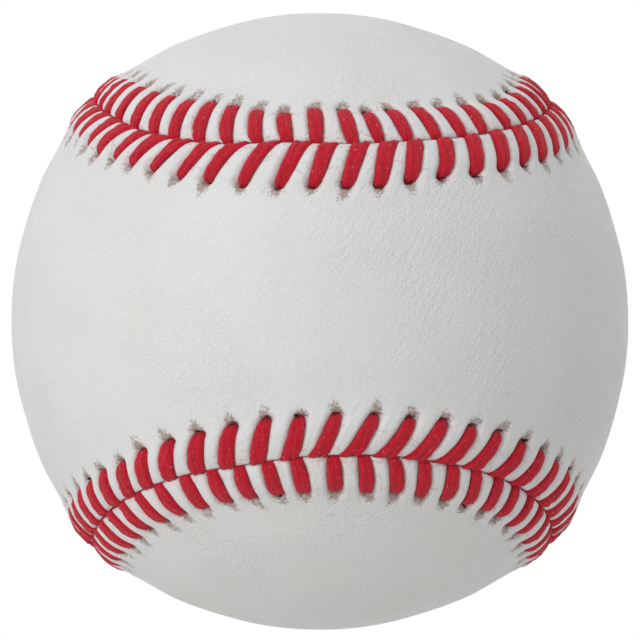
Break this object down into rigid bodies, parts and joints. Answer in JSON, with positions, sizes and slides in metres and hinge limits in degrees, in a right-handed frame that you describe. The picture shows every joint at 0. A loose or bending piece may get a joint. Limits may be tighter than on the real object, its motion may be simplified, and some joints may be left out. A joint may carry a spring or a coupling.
{
  "type": "baseball",
  "caption": "Regulation baseball: cork and rubber core, wound yarn layers and white leather cover panels joined by a raised seam of red waxed stitches.",
  "frame": {"origin": "centre of the ball", "axes": "the front panel's waist faces -Y and its lobes reach to +X and -X; the rear panel's waist faces +Y and its lobes reach to +Z and -Z"},
  "size_m": [0.0728, 0.073, 0.0728],
  "materials": {
    "cork": "ground cork bound with rubber, dull",
    "black_rubber": "moulded, dull",
    "red_rubber": "moulded, dull",
    "grey_wool": "wound wool yarn",
    "white_wool": "wound wool yarn",
    "cotton_yarn": "fine wound cotton and polyester yarn",
    "white_leather": "tanned full-grain hide, fine grain, low sheen",
    "red_thread": "waxed two-strand thread, soft sheen"
  },
  "bodies": {
    "root": {"cork_core": "cork", "black_half_shell_upper": "black_rubber", "black_half_shell_lower": "black_rubber", "washer_upper": "red_rubber", "washer_lower": "red_rubber", "red_rubber_layer": "red_rubber", "grey_wool_winding_inner": "grey_wool", "white_wool_winding": "white_wool", "grey_wool_winding_outer": "grey_wool", "finishing_winding": "cotton_yarn", "cover_panel_front": "white_leather", "cover_panel_rear": "white_leather", "stitches_front": "red_thread", "stitches_rear": "red_thread", "thread_runs_front": "red_thread", "thread_runs_rear": "red_thread"}
  },
  "joints": []
}
